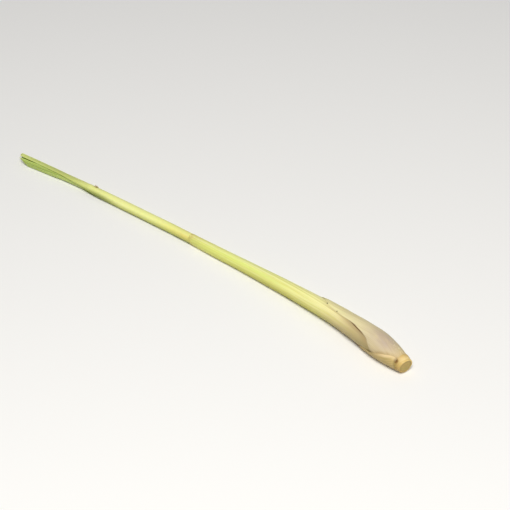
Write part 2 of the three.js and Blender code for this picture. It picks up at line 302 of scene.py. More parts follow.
def leafPiece(name, material):
    leaf = leaves[name]
    rows, columns = leaf["grid"]
    even = np.linspace(0, 1, rows)[:, None]
    share = even - leaf["fineEnds"] * np.sin(2 * math.pi * even) / (2 * math.pi)  # finer rows at both ends
    nominal, end, endDegrees = leafOutline(leaf, columns)
    endArc = np.radians(1) * outerRadius(leaf["layer"], end) * leaf["spread"](end)
    steepness = np.gradient(end, endDegrees * endArc)
    random = np.random.default_rng(leaf["layer"])
    teeth = np.convolve(random.uniform(-1, 1, columns + 2), [0.3, 0.4, 0.3], "valid")
    raggedness = leaf["ragged"] * np.sqrt(1 + steepness ** 2)
    end = end + raggedness * (teeth + wander(nominal, 70, leaf["layer"] + 30))
    along = mix(leaf["from"], end[None, :], share)
    toEnd = (end[None, :] - along) / np.sqrt(1 + steepness ** 2)[None, :]
    acrossShare = np.linspace(0, 1, columns)[None, :]
    fromMidrib = degreesAcross(leaf, np.broadcast_to(acrossShare, along.shape), along)
    arc = np.radians(1) * outerRadius(leaf["layer"], along) * leaf["spread"](along)  # mm for a degree
    toMargin = np.minimum(fromMidrib - fromMidrib[:, :1], fromMidrib[:, -1:] - fromMidrib) * arc
    outer, inner = leafSection(leaf, fromMidrib, along, toEnd, toMargin)

    around = leaf["midrib"](along) + leaf["winding"] * fromMidrib
    on = [along, fromMidrib * arc, around]  # mm along, mm across, degrees round the stalk
    edge = [toEnd, toMargin, 0 * along]  # mm to the end, and to the nearer margin
    near = [aboveLip(leaf, along, around, arc), pastTornEdge(along, around), 0 * along]  # mm too
    maps = {}
    for mapName, channels in (("onLeaf", on), ("toEdge", edge), ("nearEdge", near)):
        maps[mapName] = np.concatenate([np.stack(channels, -1).reshape(-1, 3)] * 2)
    faces = closedSheet(rows, columns, leaf["winding"] < 0)
    piece = meshPiece(name.replace("leaf", "fine"), [outer, inner], faces, maps, material)
    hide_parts(name)


def endingNear(along, *offsets):
    return curveThrough(*[(fromMidrib, along + offset) for fromMidrib, offset in offsets])


plainLeaf = {  # what a leaf is unless it says otherwise
    "winding": 1, "lapFrom": None, "opening": always(1), "spread": always(1), "drift": (0, 0),
    "rolled": False, "collar": None, "rootLength": 0, "rootDepth": 0, "edgeSettles": None,
    "thickness": 0.42, "endThickness": 0.42, "settles": 1, "ragged": 0.05, "curl": 0, "fineEnds": 0.7,
}
leaves["leaf_1_torn_sheath"] = {
    **plainLeaf, "layer": 1, "winding": -1, "from": 3.7, "lapFrom": -22, "midrib": always(6),
    "innerEdge": -194, "steadyTo": 106, "steadyShare": 0.75,
    "outerEdge": curveThrough(
        (6, 237), (8.3, 229), (12, 215), (15.5, 205), (22, 185), (28.5, 170), (32.5, 166), (40, 157)),
    "end": curveThrough(
        (-194, 23), (-160, 27), (-150, 29), (-139, 31), (-126, 39), (-119, 45), (-112, 50), (-108.5, 53),
        (-110.5, 56), (-103, 64), (-87, 76), (-40, 83), (6, 90), (51, 80), (96, 60), (131, 49), (180, 42),
        (230, 36)),
    "rootLength": 3.5, "rootDepth": 0.1, "edgeSettles": (23, 30),
    "thickness": 0.4, "endThickness": 0.14, "settles": 3.5, "ragged": 0.12, "curl": 0.06,
    "veinStep": 8, "veinHeight": 0.05, "ripple": 0.12,
    "grid": (230, 141), "fineEnds": 0.6,
}
leaves["leaf_2_main_sheath"] = {
    **plainLeaf, "layer": 2, "from": 14, "lapFrom": 50, "midrib": always(200),
    "end": endingNear(stalk["firstCollarAt"], (-190, -2), (-60, 0), (0, -3), (70, 1), (190, -1)),
    "endThickness": 0.1, "settles": 24, "ragged": 0.5,
    "veinStep": 380 / 28, "veinHeight": 0.035, "ripple": 0.09,
    "grid": (360, 113),
}
leaves["leaf_3_sheath_and_blade"] = {
    **plainLeaf, "layer": 3, "from": 19, "lapFrom": 160,
    "midrib": curveThrough((290, 20), (330, 32), (392, 56)),
    "end": endingNear(stalk["tipsAt"], (-190, -3), (0, 1.5), (190, -1)),
    "opening": curveThrough(
        (296, 1), (308, 0.85), (316, 0.71), (326, 0.6), (345, 0.43), (363, 0.36), (392, 0.27)),
    "spread": curveThrough((312, 1), (345, 1.2), (392, 1.4)), "drift": (0.2, 0.8),
    "collar": stalk["secondCollarAt"],
    "veinStep": 380 / 28, "veinHeight": 0.035, "ripple": 0.07,
    "grid": (400, 113),
}
leaves["leaf_4_blade"] = {
    **plainLeaf, "layer": 4, "winding": -1, "from": 25,
    "midrib": curveThrough((300, 200), (345, 204), (392, 214)),
    "end": endingNear(stalk["tipsAt"], (-170, -13), (0, -8), (170, 0)),
    "opening": curveThrough((336, 1), (350, 0.68), (392, 0.5)),
    "spread": curveThrough((334, 1), (356, 1.25), (392, 1.5)), "drift": (-2, -0.4),
    "veinStep": 340 / 24, "veinHeight": 0.035, "ripple": 0.04,
    "grid": (400, 97),
}
leaves["leaf_5_furled_blade"] = {
    **plainLeaf, "layer": 5, "from": 31.3,
    "midrib": curveThrough((300, 20), (392, 60)),
    "end": endingNear(stalk["tipsAt"], (-170, -2), (0, 0), (170, -3)),
    "opening": curveThrough((325, 1), (350, 0.72), (392, 0.5)),
    "spread": curveThrough((330, 1), (392, 1.5)), "drift": (0.3, 0.55), "rolled": True,
    "veinStep": 340 / 24, "veinHeight": 0.03, "ripple": 0.02,
    "grid": (400, 97),
}


def linear(hexColour):  # an sRGB hex value as the linear colour that the shader wants
    channels = [int(hexColour[i:i + 2], 16) / 255 for i in (1, 3, 5)]
    return [c / 12.92 if c <= 0.04045 else ((c + 0.055) / 1.055) ** 2.4 for c in channels] + [1]


def addNode(tree, kind, settings=None, **links):  # a link is a socket, a plain value, or a hex colour
    node = tree.nodes.new("ShaderNode" + kind)
    for key, value in (settings or {}).items():
        setattr(node, key, value)
    for key, value in links.items():
        socket = node.inputs[int(key[1:])] if key[0] == "_" else node.inputs[key.replace("_", " ")]
        if isinstance(value, bpy.types.NodeSocket):
            tree.links.new(value, socket)
        else:
            socket.default_value = linear(value) if isinstance(value, str) else value
    return node


def mathNode(tree, operation, *values):
    links = {f"_{i}": value for i, value in enumerate(values)}
    return addNode(tree, "Math", {"operation": operation}, **links).outputs[0]


def gradient(tree, value, stops):  # stops are (value, hex colour)
    low, high = stops[0][0], stops[-1][0]
    factor = addNode(tree, "MapRange", None, Value=value, From_Min=low, From_Max=high).outputs[0]
    node = addNode(tree, "ValToRGB", None, Fac=factor)
    elements = node.color_ramp.elements
    elements[0].color = linear(stops[0][1])
    elements[1].color = linear(stops[-1][1])
    for at, colour in stops[1:-1]:
        elements.new((at - low) / (high - low)).color = linear(colour)
    return node.outputs["Color"]


def within(tree, value, start, end):  # 0 before start and 1 after end, or the other way round
    return addNode(
        tree, "MapRange", {"interpolation_type": "SMOOTHSTEP"},
        Value=value, From_Min=start, From_Max=end).outputs[0]


def blend(tree, factor, colour, other):
    return addNode(tree, "Mix", {"data_type": "RGBA"}, _0=factor, _6=colour, _7=other).outputs[2]


def stretched(tree, along, across, alongSize, acrossSize, detail, seed):  # noise, sizes in mm
    scaled = addNode(
        tree, "CombineXYZ", None,
        X=mathNode(tree, "DIVIDE", along, alongSize), Y=mathNode(tree, "DIVIDE", across, acrossSize), Z=seed)
    noise = addNode(
        tree, "TexNoise", None, Vector=scaled.outputs[0], Scale=1.0, Detail=float(detail), Roughness=0.55)
    return noise.outputs["Fac"]


def leafCoordinates(tree):
    at = {}
    for mapName, names in (
        ("onLeaf", ("along", "across", "around")),
        ("toEdge", ("toEnd", "toMargin")),
        ("nearEdge", ("aboveLip", "pastTear")),
    ):
        values = addNode(tree, "Attribute", {"attribute_name": mapName}).outputs["Vector"]
        at.update(zip(names, addNode(tree, "SeparateXYZ", None, Vector=values).outputs))
    at["side"] = mathNode(tree, "FLOORED_MODULO", at["around"], 360.0)  # around, from 0 to 360 once more
    return at


def bell(tree, value, middle, reach):  # 1 at the middle, 0 beyond its reach either side
    away = mathNode(tree, "ABSOLUTE", mathNode(tree, "SUBTRACT", value, middle))
    return within(tree, away, reach, 0.0)


def times(tree, *values):
    product = values[0]
    for value in values[1:]:
        product = mathNode(tree, "MULTIPLY", product, value)
    return product


def zone(tree, at, spans):  # spans are {coordinate: (its middle, its reach either side)}
    return times(tree, *[bell(tree, at[name], *span) for name, span in spans.items()])


def pattern(tree, at, sizes):  # sizes are mm along, mm across, detail and seed
    return stretched(tree, at["along"], at["across"], *sizes)


def paint(tree, colour, tone, *shares):  # a tone is (hex colour, strength), laid on where its shares are 1
    shade, strength = tone
    return blend(tree, times(tree, *shares, strength), colour, shade)


plantBody = {"ior": 1.45, "scatter": (1.0, 0.8, 0.35), "waxRoughness": 0.35, "furrows": 0.08, "crests": -0.06}


def tissue(name, finish):  # what every piece of the plant shares: a soft, slightly see-through body
    material = bpy.data.materials.new(name)
    material.use_nodes = True
    principled = material.node_tree.nodes["Principled BSDF"]
    principled.inputs["IOR"].default_value = plantBody["ior"]
    principled.inputs["Subsurface Weight"].default_value = finish["subsurface"]
    principled.inputs["Subsurface Radius"].default_value = plantBody["scatter"]
    principled.inputs["Subsurface Scale"].default_value = finish["depth"] * millimetre
    principled.inputs["Coat Weight"].default_value = finish["wax"]
    principled.inputs["Coat Roughness"].default_value = plantBody["waxRoughness"]
    return material, material.node_tree, principled


def surface(tree, principled, finish, colour, height):  # height is in mm, and crests are smoother
    rough = addNode(
        tree, "MapRange", None, Value=height, From_Min=0.0, From_Max=0.1,
        To_Min=finish["roughness"] + plantBody["furrows"], To_Max=finish["roughness"] + plantBody["crests"])
    bump = addNode(tree, "Bump", None, Height=height, Distance=millimetre, Strength=finish["bump"])
    tree.links.new(colour, principled.inputs["Base Color"])
    tree.links.new(rough.outputs[0], principled.inputs["Roughness"])
    tree.links.new(bump.outputs["Normal"], principled.inputs["Normal"])


# Real veins are about 0.3 mm wide and too fine to show, so the finest patterns are 0.45 to 1 mm wide.
broadVeins = {"length": 60.0, "width": 2.2}


def veinHeight(tree, at, finish, seed):  # fine raised veins and the furrows between them
    fine = pattern(tree, at, (finish["veinLength"], finish["veinWidth"], 2, seed))
    broad = pattern(tree, at, (broadVeins["length"], broadVeins["width"], 2, seed + 5.0))
    return mathNode(
        tree, "ADD", times(tree, fine, finish["veinDepth"]), times(tree, broad, finish["veinDepth"]))


# Dried, papery leaf sheath: matt and parchment-pale, with a mauve blush where the sun caught it.
papery = {
    "subsurface": 0.12, "depth": 0.6, "wax": 0.0, "roughness": 0.6, "bump": 0.7,
    "veinLength": 30.0, "veinWidth": 0.45, "veinDepth": 0.08,  # mm
    "along": [
        (3.7, "#D8C08A"), (8, "#D4C294"), (16, "#D2C2A0"), (30, "#DFD1A9"), (48, "#EADFAE"), (70, "#F3EBAE"),
        (90, "#F5EDA6")],
    # each tone's colour and strength
    "fibre": ("#C4AC7C", 0.45), "blush": ("#B29C96", 0.6), "fleck": ("#EFE6BE", 0.75),
    "flap": ("#C9B074", 1.0), "weave": ("#A39448", 0.5), "crease": ("#B0925E", 0.55),
    "base": ("#8F7638", 0.8), "scar": ("#7C5C28", 1.0), "under": ("#A8925C", 0.75), "lip": ("#F3D9AA", 0.7),
    "speck": 1.0, "tear": "#6E4E2A",
    # each pattern's size along and across in mm, its detail and its seed
    "mottle": (14.0, 5.0, 3, 3.0), "streaks": (40.0, 0.7, 3, 7.0), "flecks": (1.6, 1.1, 2, 17.0),
    "threads": (7.0, 0.9, 3, 19.0), "wrinkles": (3.0, 6.0, 3, 13.0), "wrinkleDepth": 0.04,
    # where each tone lies, in mm along or degrees round
    "blushAt": {"around": (96.0, 64.0), "along": (18.5, 20.0)},
    "fleckAt": {"along": (10.0, 12.0), "around": (66.0, 40.0)},
    "baseAt": {"side": (165.0, 55.0)}, "baseFades": (5.6, 3.9),
    "scarAt": {"side": (141.0, 22.0)}, "scarFades": (6.0, 4.2),
    "underAt": {"side": (225.0, 105.0)},
    "lipPaleAndHighlightAt": {"along": (11.0, 12.0)}, "lipPaleAndHighlightFades": (3.0, 0.5),
    "flapFrom": (-96.0, -116.0), "creaseShadeAbove": (3.0, 0.2), "creaseShadeBelow": (-0.6, 0.0),
    "crispAt": {"along": (42.0, 19.0)},  # where the torn edge is a dark line: dried brown, with painted shadow along it
    "tornWidth": {"plain": 0.1, "mottle": 0.9, "crisp": 1.4}, "tornSolid": 0.35,  # mm, and a share of it
    "tornStrength": {"plain": 0.1, "crisp": 0.9},
    "specks": [(75.4, 93.0, 1.0, "#5A5A2C"), (64.2, 108.0, 0.8, "#77703A")],  # along, around, mm across
    "speckDegrees": 9,  # how far round a speck reaches for each mm of its size
}


def tornEdge(tree, at, finish, mottle):  # how much of the torn edge's colour shows
    crisp = zone(tree, at, finish["crispAt"])
    size = finish["tornWidth"]
    extra = mathNode(tree, "ADD", times(tree, crisp, size["crisp"]), size["plain"])
    width = mathNode(tree, "ADD", times(tree, mottle, size["mottle"]), extra)
    torn = within(tree, at["toEnd"], width, mathNode(tree, "MULTIPLY", width, finish["tornSolid"]))
    share = finish["tornStrength"]
    return times(tree, torn, mathNode(tree, "ADD", times(tree, crisp, share["crisp"]), share["plain"]))


def paperySheath(finish):
    material, tree, principled = tissue("paperySheathDried", finish)
    at = leafCoordinates(tree)
    mottle = pattern(tree, at, finish["mottle"])
    streaks = pattern(tree, at, finish["streaks"])
    threads = pattern(tree, at, finish["threads"])
    flecks = within(tree, pattern(tree, at, finish["flecks"]), 0.5, 0.62)
    flap = within(tree, at["around"], *finish["flapFrom"])
    colour = gradient(tree, at["along"], finish["along"])
    colour = paint(tree, colour, finish["fibre"], within(tree, streaks, 0.42, 0.7))
    blush = zone(tree, at, finish["blushAt"])
    colour = paint(tree, colour, finish["blush"], blush, within(tree, mottle, 0.2, 0.55))
    colour = paint(tree, colour, finish["fleck"], zone(tree, at, finish["fleckAt"]), flecks)
    colour = paint(tree, colour, finish["flap"], flap, within(tree, streaks, 0.1, 0.5))
    colour = paint(tree, colour, finish["weave"], flap, within(tree, threads, 0.46, 0.6))
    # painted shade in the crease just above the lapping edge
    above = within(tree, at["aboveLip"], *finish["creaseShadeAbove"])
    below = within(tree, at["aboveLip"], *finish["creaseShadeBelow"])
    colour = paint(tree, colour, finish["crease"], above, below, within(tree, streaks, 0.2, 0.6))
    for name in ("base", "scar"):  # both at the node
        atNode = within(tree, at["along"], *finish[name + "Fades"])
        colour = paint(tree, colour, finish[name], atNode, zone(tree, at, finish[name + "At"]))
    # painted shade: the sheath's lower side is darker, as where shade falls
    colour = paint(tree, colour, finish["under"], zone(tree, at, finish["underAt"]))
    # the lapping edge's pale margin, with a painted highlight along it
    lip = within(tree, at["toMargin"], *finish["lipPaleAndHighlightFades"])
    colour = paint(tree, colour, finish["lip"], flap, lip, zone(tree, at, finish["lipPaleAndHighlightAt"]))
    for along, around, size, speckColour in finish["specks"]:
        spans = {"along": (along, size), "around": (around, size * finish["speckDegrees"])}
        speck = within(tree, zone(tree, at, spans), 0.15, 0.5)
        colour = paint(tree, colour, (speckColour, finish["speck"]), speck)
    # the torn edge's dried brown, deepened with painted shadow in the crisp zone
    colour = blend(tree, tornEdge(tree, at, finish, mottle), colour, finish["tear"])
    wrinkle = times(tree, pattern(tree, at, finish["wrinkles"]), finish["wrinkleDepth"])
    height = mathNode(tree, "ADD", veinHeight(tree, at, finish, 2.0), wrinkle)
    surface(tree, principled, finish, colour, height)
    return material


# Fresh leaf sheath with a waxy skin: satin, with a soft shine along the stalk and close-set veins.
waxy = {
    "subsurface": 0.2, "depth": 0.9, "wax": 0.1, "roughness": 0.45, "bump": 0.55,
    "veinLength": 70.0, "veinWidth": 0.5, "veinDepth": 0.05,  # mm
    "along": [
        (14, "#B8A678"), (32, "#BFAE82"), (46, "#D8C692"), (60, "#F5E6AA"), (80, "#FCF5AE"), (95, "#FBF7A8"),
        (125, "#F5F79E"), (160, "#F1F798"), (190, "#F6F79C"), (203, "#F2EA92"), (211, "#EFE08A")],
    "deep": ("#D6CF6C", 0.55), "pale": ("#FBFAC8", 0.45), "green": ("#D2E26C", 0.5),
    "besideTearShade": ("#B29A72", 0.7), "tan": ("#C2954A", 0.5),
    # painted shade on the sheath's lower side, in a bulb colour and a shaft colour
    "underLow": "#9C8A4C", "under": "#A8A422", "underTurns": (55.0, 85.0),  # from the bulb to the shaft
    "streaks": (90.0, 1.0, 3, 21.0), "threads": (60.0, 0.8, 2, 23.0), "broad": (120.0, 4.0, 2, 24.0),
    "patches": (3.5, 2.2, 3, 27.0),
    "aboveBulb": (35.0, 70.0), "greensOver": (90.0, 150.0),
    "pastTear": (6.5, 0.0), "besideTearShadeFades": (90.0, 50.0),  # painted shade on the sheath beside the torn edge
    "underAt": {"side": (224.0, 110.0)}, "underFades": (300.0, 120.0),
    "scorch": [  # dry patches at the collar
        {"along": (207.5, 3.5), "around": (118.0, 30.0)},
        {"along": (206.0, 3.0), "around": (160.0, 26.0)},
    ],
    "frayedOver": (3.0, 0.0),
}


def waxySheath(finish):
    material, tree, principled = tissue("waxySheathFresh", finish)
    at = leafCoordinates(tree)
    streaks = within(tree, pattern(tree, at, finish["streaks"]), 0.42, 0.66)
    threads = within(tree, pattern(tree, at, finish["threads"]), 0.52, 0.7)
    broad = within(tree, pattern(tree, at, finish["broad"]), 0.45, 0.7)
    patches = pattern(tree, at, finish["patches"])
    aboveBulb = within(tree, at["along"], *finish["aboveBulb"])
    colour = gradient(tree, at["along"], finish["along"])
    colour = paint(tree, colour, finish["deep"], streaks, aboveBulb)
    colour = paint(tree, colour, finish["pale"], threads, aboveBulb)
    colour = paint(tree, colour, finish["green"], broad, within(tree, at["along"], *finish["greensOver"]))
    # painted shade on the sheath just past the outer leaf's torn edge
    pastTear = within(tree, at["pastTear"], *finish["pastTear"])
    fades = within(tree, at["along"], *finish["besideTearShadeFades"])
    colour = paint(tree, colour, finish["besideTearShade"], pastTear, fades)
    # painted shade: the sheath's lower side is darker and more khaki
    tone = blend(tree, within(tree, at["along"], *finish["underTurns"]), finish["underLow"], finish["under"])
    fades = within(tree, at["along"], *finish["underFades"])
    colour = blend(tree, times(tree, zone(tree, at, finish["underAt"]), fades), colour, tone)
    for spans in finish["scorch"]:
        colour = paint(tree, colour, finish["tan"], zone(tree, at, spans), within(tree, patches, 0.3, 0.6))
    frayed = within(tree, at["toEnd"], *finish["frayedOver"])
    colour = paint(tree, colour, finish["tan"], frayed, within(tree, patches, 0.4, 0.65))
    surface(tree, principled, finish, colour, veinHeight(tree, at, finish, 31.0))
    return material


# Fresh grass blade: satin green, ribbed lengthwise, with a pale midrib and a pale cut end.
grassy = {
    "subsurface": 0.18, "depth": 0.6, "wax": 0.1, "roughness": 0.44, "bump": 0.7,
    "veinLength": 50.0, "veinWidth": 0.45, "veinDepth": 0.06,  # mm
    "under": ("#9CA034", 1.0), "darkGreenShade": ("#6C7A28", 0.9), "collar": ("#8A6C34", 0.55),
    "streaks": (80.0, 0.8, 3), "patches": (2.6, 1.6, 3),  # mm along, mm across and detail
    "greensOver": (240.0, 320.0), "sheathEnds": (330.0, 300.0), "darkGreenShadeStarts": (276.0, 304.0),
    "underAt": {"side": (218.0, 95.0)}, "darkGreenShadeAt": {"side": (194.0, 80.0)},
    "collarAt": {"along": (307.8, 2.6), "around": (62.0, 26.0)},
    "midribFrom": 296.0, "midribWidths": (7.0, 0.1), "midribEdge": 0.5,  # half its width, in mm
    "marginWidth": (0.8, 0.2), "cutWidth": (0.25, 0.02),
}
bladeColours = {
    "leaf_3_sheath_and_blade": {
        "along": [
            (19, "#EFE8A0"), (200, "#ECDD80"), (214, "#F0E386"), (228, "#F1EE8E"), (245, "#F4F7A4"),
            (285, "#F8FAAC"), (306, "#F0F39E"), (318, "#DFE58E"), (330, "#CAD27C"), (345, "#C4CD75"),
            (370, "#CDD97E"), (392, "#DEE68E")],
        "deep": ("#C9D06A", 0.65), "pale": ("#F1F39A", 0.6), "midribEnds": 345.0,
        # leaf 3's dark margin is a painted shadow line along its edge
        "margin": ("#7F8F3C", 0.8), "marginFades": (330.0, 310.0), "darkGreenShadeFades": (350.0, 330.0),
        "cut": ("#DDE39A", 0.8),
    },
    "leaf_4_blade": {
        # leaf 4 darkens towards 290 mm: painted shade where it shows inside the outer leaf's slit
        "along": [(25, "#E8E49C"), (250, "#D9E07C"), (290, "#8E9E44"), (320, "#AEBD66"), (350, "#AFC068"),
                  (392, "#A9BB60")],
        "deep": ("#7F9438", 0.65), "pale": ("#B9C870", 0.6), "midribEnds": 370.0,
        "margin": ("#C9DE7E", 0.8), "marginFades": (300.0, 320.0), "darkGreenShadeFades": (324.0, 310.0),
        "cut": ("#C3C98A", 0.8),
    },
    "leaf_5_furled_blade": {
        "along": [(31, "#ECEAB4"), (280, "#E2E894"), (330, "#A9BB56"), (392, "#93A846")],
        "deep": ("#84993A", 0.65), "pale": ("#CFDA84", 0.6), "midribEnds": 380.0,
        "margin": ("#D2E08C", 0.8), "marginFades": (300.0, 320.0), "darkGreenShadeFades": (324.0, 310.0),
        "cut": ("#D0D49C", 0.8),
    },
}


def paleMidrib(tree, at, finish, colours):  # a band that narrows towards the tip
    wide, narrow = finish["midribWidths"]
    halfWidth = addNode(
        tree, "MapRange", None, Value=at["along"], From_Min=finish["midribFrom"],
        From_Max=colours["midribEnds"], To_Min=wide, To_Max=narrow).outputs[0]
    aside = mathNode(tree, "ABSOLUTE", at["across"])
    edge = finish["midribEdge"]
    return within(tree, mathNode(tree, "SUBTRACT", aside, halfWidth), edge, -edge)


def grassBlade(finish, colours, seed):
    material, tree, principled = tissue("grassBladeFresh", finish)
    at = leafCoordinates(tree)
    streaks = within(tree, pattern(tree, at, (*finish["streaks"], seed)), 0.45, 0.75)
    patches = within(tree, pattern(tree, at, (*finish["patches"], seed + 3.0)), 0.3, 0.5)
    colour = gradient(tree, at["along"], colours["along"])
    colour = paint(tree, colour, colours["deep"], streaks, within(tree, at["along"], *finish["greensOver"]))
    colour = paint(tree, colour, colours["pale"], paleMidrib(tree, at, finish, colours))
    sheathed = within(tree, at["along"], *finish["sheathEnds"])
    # painted shade: the sheathed part's lower side is darker
    colour = paint(tree, colour, finish["under"], zone(tree, at, finish["underAt"]), sheathed)
    # painted shade: dark olive on the lower side where the blades open
    starts = within(tree, at["along"], *finish["darkGreenShadeStarts"])
    fades = within(tree, at["along"], *colours["darkGreenShadeFades"])
    colour = paint(tree, colour, finish["darkGreenShade"], zone(tree, at, finish["darkGreenShadeAt"]), starts, fades)
    colour = paint(tree, colour, finish["collar"], zone(tree, at, finish["collarAt"]), patches)
    # leaf 3's dark margin colour is painted shadow; the other blades' pale margins are their own colour
    margin = within(tree, at["toMargin"], *finish["marginWidth"])
    fades = within(tree, at["along"], *colours["marginFades"])
    colour = paint(tree, colour, colours["margin"], margin, fades)
    colour = paint(tree, colour, colours["cut"], within(tree, at["toEnd"], *finish["cutWidth"]))
    surface(tree, principled, finish, colour, veinHeight(tree, at, finish, seed + 9.0))
    return material


leafPiece("leaf_1_torn_sheath", paperySheath(papery))
leafPiece("leaf_2_main_sheath", waxySheath(waxy))
for name, slotName, seed in (
    ("leaf_3_sheath_and_blade", "sheath_and_blade", 41.0),
    ("leaf_4_blade", "blade", 61.0),
    ("leaf_5_furled_blade", "inner_blade", 81.0),
):
    leafPiece(name, grassBlade(grassy, bladeColours[name], seed))


# A short fringe of hairs stands at the collar, where the sheath turns into the blade.
fringe = {
    "count": 46, "along": (306.3, 309.0), "around": (44, 82), "length": (0.7, 1.9), "width": 0.15,
    "lean": (0.35, 1.1),  # how far a hair leans out from the leaf, against its reach along it
    "sideways": (-0.5, 0.5), "bend": (-0.3, 0.6), "tapers": 0.85, "rootRise": 0.12,  # rise in mm
    "rings": 6, "sides": 4, "seed": 17,  # four sides, so that the hair's ends are four-sided faces too
    "subsurface": 0.1, "depth": 0.2, "wax": 0.0, "roughness": 0.65, "bump": 0.4,
    "root": "#8C7138", "tip": "#C6AE6E", "tipShift": 0.3, "mottleDepth": 0.05,
    "mottle": (0.6, 2.0, 2, 5.0),  # mm along, radians round, detail and seed
}


def fringePiece(material):
    random = np.random.default_rng(fringe["seed"])
    rings, sides = fringe["rings"], fringe["sides"]
    points, faces, places = [], [], []
    for hair in range(fringe["count"]):
        along = random.uniform(*fringe["along"])
        around = np.radians(random.uniform(*fringe["around"]))
        length = random.uniform(*fringe["length"])
        lean = random.uniform(*fringe["lean"])
        sideways = random.uniform(*fringe["sideways"])
        bend = random.uniform(*fringe["bend"])
        height = float(outerRadius(3, along)) + fringe["rootRise"]
        share = np.linspace(0, 1, rings)
        reach = share * length
        radius = height + reach * lean + bend * reach ** 2 / length
        turned = around + sideways * reach / height
        centre = place(along + reach, (np.cos(turned) * radius, np.sin(turned) * radius))
        width = fringe["width"] / 2 * (1 - fringe["tapers"] * share) * millimetre
        forward = np.gradient(centre, axis=0)
        forward = forward / np.linalg.norm(forward, axis=1, keepdims=True)
        across = np.cross(forward, (0, 0, 1))
        across = across / np.linalg.norm(across, axis=1, keepdims=True)
        up = np.cross(across, forward)
        first = len(points) * rings * sides
        angle = np.linspace(0, 2 * math.pi, sides, endpoint=False)
        ring = np.cos(angle)[None, :, None] * across[:, None] + np.sin(angle)[None, :, None] * up[:, None]
        points.append(centre[:, None] + ring * width[:, None, None])
        places.append(np.stack(np.broadcast_arrays(reach[:, None], share[:, None], angle[None, :]), -1))
        index = first + np.arange(rings * sides).reshape(rings, sides)
        after = np.roll(index, -1, 1)
        tube = np.stack([index[:-1], index[1:], after[1:], after[:-1]], -1).reshape(-1, 4)
        faces += tube.tolist() + [index[0].tolist(), index[-1, ::-1].tolist()]
    maps = {"onHair": np.concatenate(places).reshape(-1, 3)}
    piece = meshPiece("fine_3_collar_hairs", points, faces, maps, material)


# Dry plant hairs: brown at the root and straw-pale at the tip, matt.
def dryHair(finish):
    material, tree, principled = tissue("plantHairDried", finish)
    on = addNode(tree, "Attribute", {"attribute_name": "onHair"}).outputs["Vector"]
    reach, share, angle = addNode(tree, "SeparateXYZ", None, Vector=on).outputs[:3]
    mottle = stretched(tree, reach, angle, *finish["mottle"])
    shifted = mathNode(tree, "ADD", share, times(tree, mottle, finish["tipShift"]))
    colour = gradient(tree, shifted, [(0.1, finish["root"]), (1.1, finish["tip"])])
    surface(tree, principled, finish, colour, times(tree, mottle, finish["mottleDepth"]))
    return material


fringePiece(dryHair(fringe))

stem = {
    "discRadius": 4.3, "ringRadius": 5.2, "rim": 0.5, "recess": 0.14, "bulge": 0.8,
    "ringDip": 0.05, "ringRises": (4.4, 5.1), "stubFrom": 0.7,
    "pith": 0.03,  # radius of the small face in the middle of the cut
    "seats": [(4.2, 14, 2), (14, 19, 3), (19, 25, 4), (25, 31, 5)],  # from, to, and the layer it fits inside
    "seatGap": 0.3,
    "taper": curveThrough((31, 2.9), (45, 2.1), (60, 0.6)), "taperFrom": 31, "tipAt": 60,
    "sides": 144, "rows": {"cut": 34, "rim": 7, "stub": 22, "seat": 6, "taper": 12},
    "skinFrom": (0.3, 1.2), "skinTo": (3.6, 4.1), "fibreHeight": 0.05,  # where the skin's relief lies
    "nodeAt": 3.2, "nodeReach": 0.5, "nodeHeight": 0.1,  # the ridge that runs round the node
    "creaseAt": 2.2, "creaseReach": 0.35, "creaseDepth": 0.05,
    "grainWithin": 4.9, "grain": 0.05, "grainDeepest": 0.03,  # torn fibres on the cut
}
# Freshly cut stem: moist and fibrous, golden skin, a pale rind ring round a khaki heart with dotted veins.
freshCut = {
    "subsurface": 0.2, "depth": 0.8, "wax": 0.05, "roughness": 0.5, "bump": 0.9,
    "skin": [
        (0, "#E8CB84"), (1.5, "#DBBD76"), (3, "#D8BA76"), (4.2, "#D2B578"), (14, "#E6DCA8"), (60, "#F0EAC0")],
    "cut": [(0, "#B59A56"), (2.8, "#B99F5A"), (3.9, "#AD9250"), (4.3, "#9C8248"), (4.6, "#C8AD68"),
            (5.1, "#E3C77C"), (5.7, "#E1C47A")],
    "patches": ("#D2AE68", 0.4), "lit": ("#F8E3A8", 0.5), "under": ("#9A7A3A", 0.85), "rim": ("#9A7A3A", 0.7),
    "crease": ("#9A8846", 0.7), "scar": ("#7C5A26", 1.0), "dots": ("#93803F", 0.5), "heart": ("#A1964E", 0.7),
    "litAt": {"around": (72.0, 75.0)}, "litFades": (3.2, 1.0), "lowerShadeAt": {"around": (207.0, 122.0)},
    "creaseAt": {"around": (178.0, 64.0), "along": (3.2, 2.2)},
    "scarAt": {"around": (141.0, 22.0), "along": (3.5, 2.6)},
    "heartWithin": (4.0, 3.6), "rimFrom": (4.4, 4.9), "skinFrom": (0.25, 0.5),
    "mottle": (2.2, 9.0, 3, 4.0),  # mm along, degrees round, detail and seed
    "fibreSize": 1.111, "dotSize": 0.625, "tintSize": 3.846,  # mm; real fibres are too fine to show
    "fibreDepth": 0.12, "dotDepth": 0.05,
}


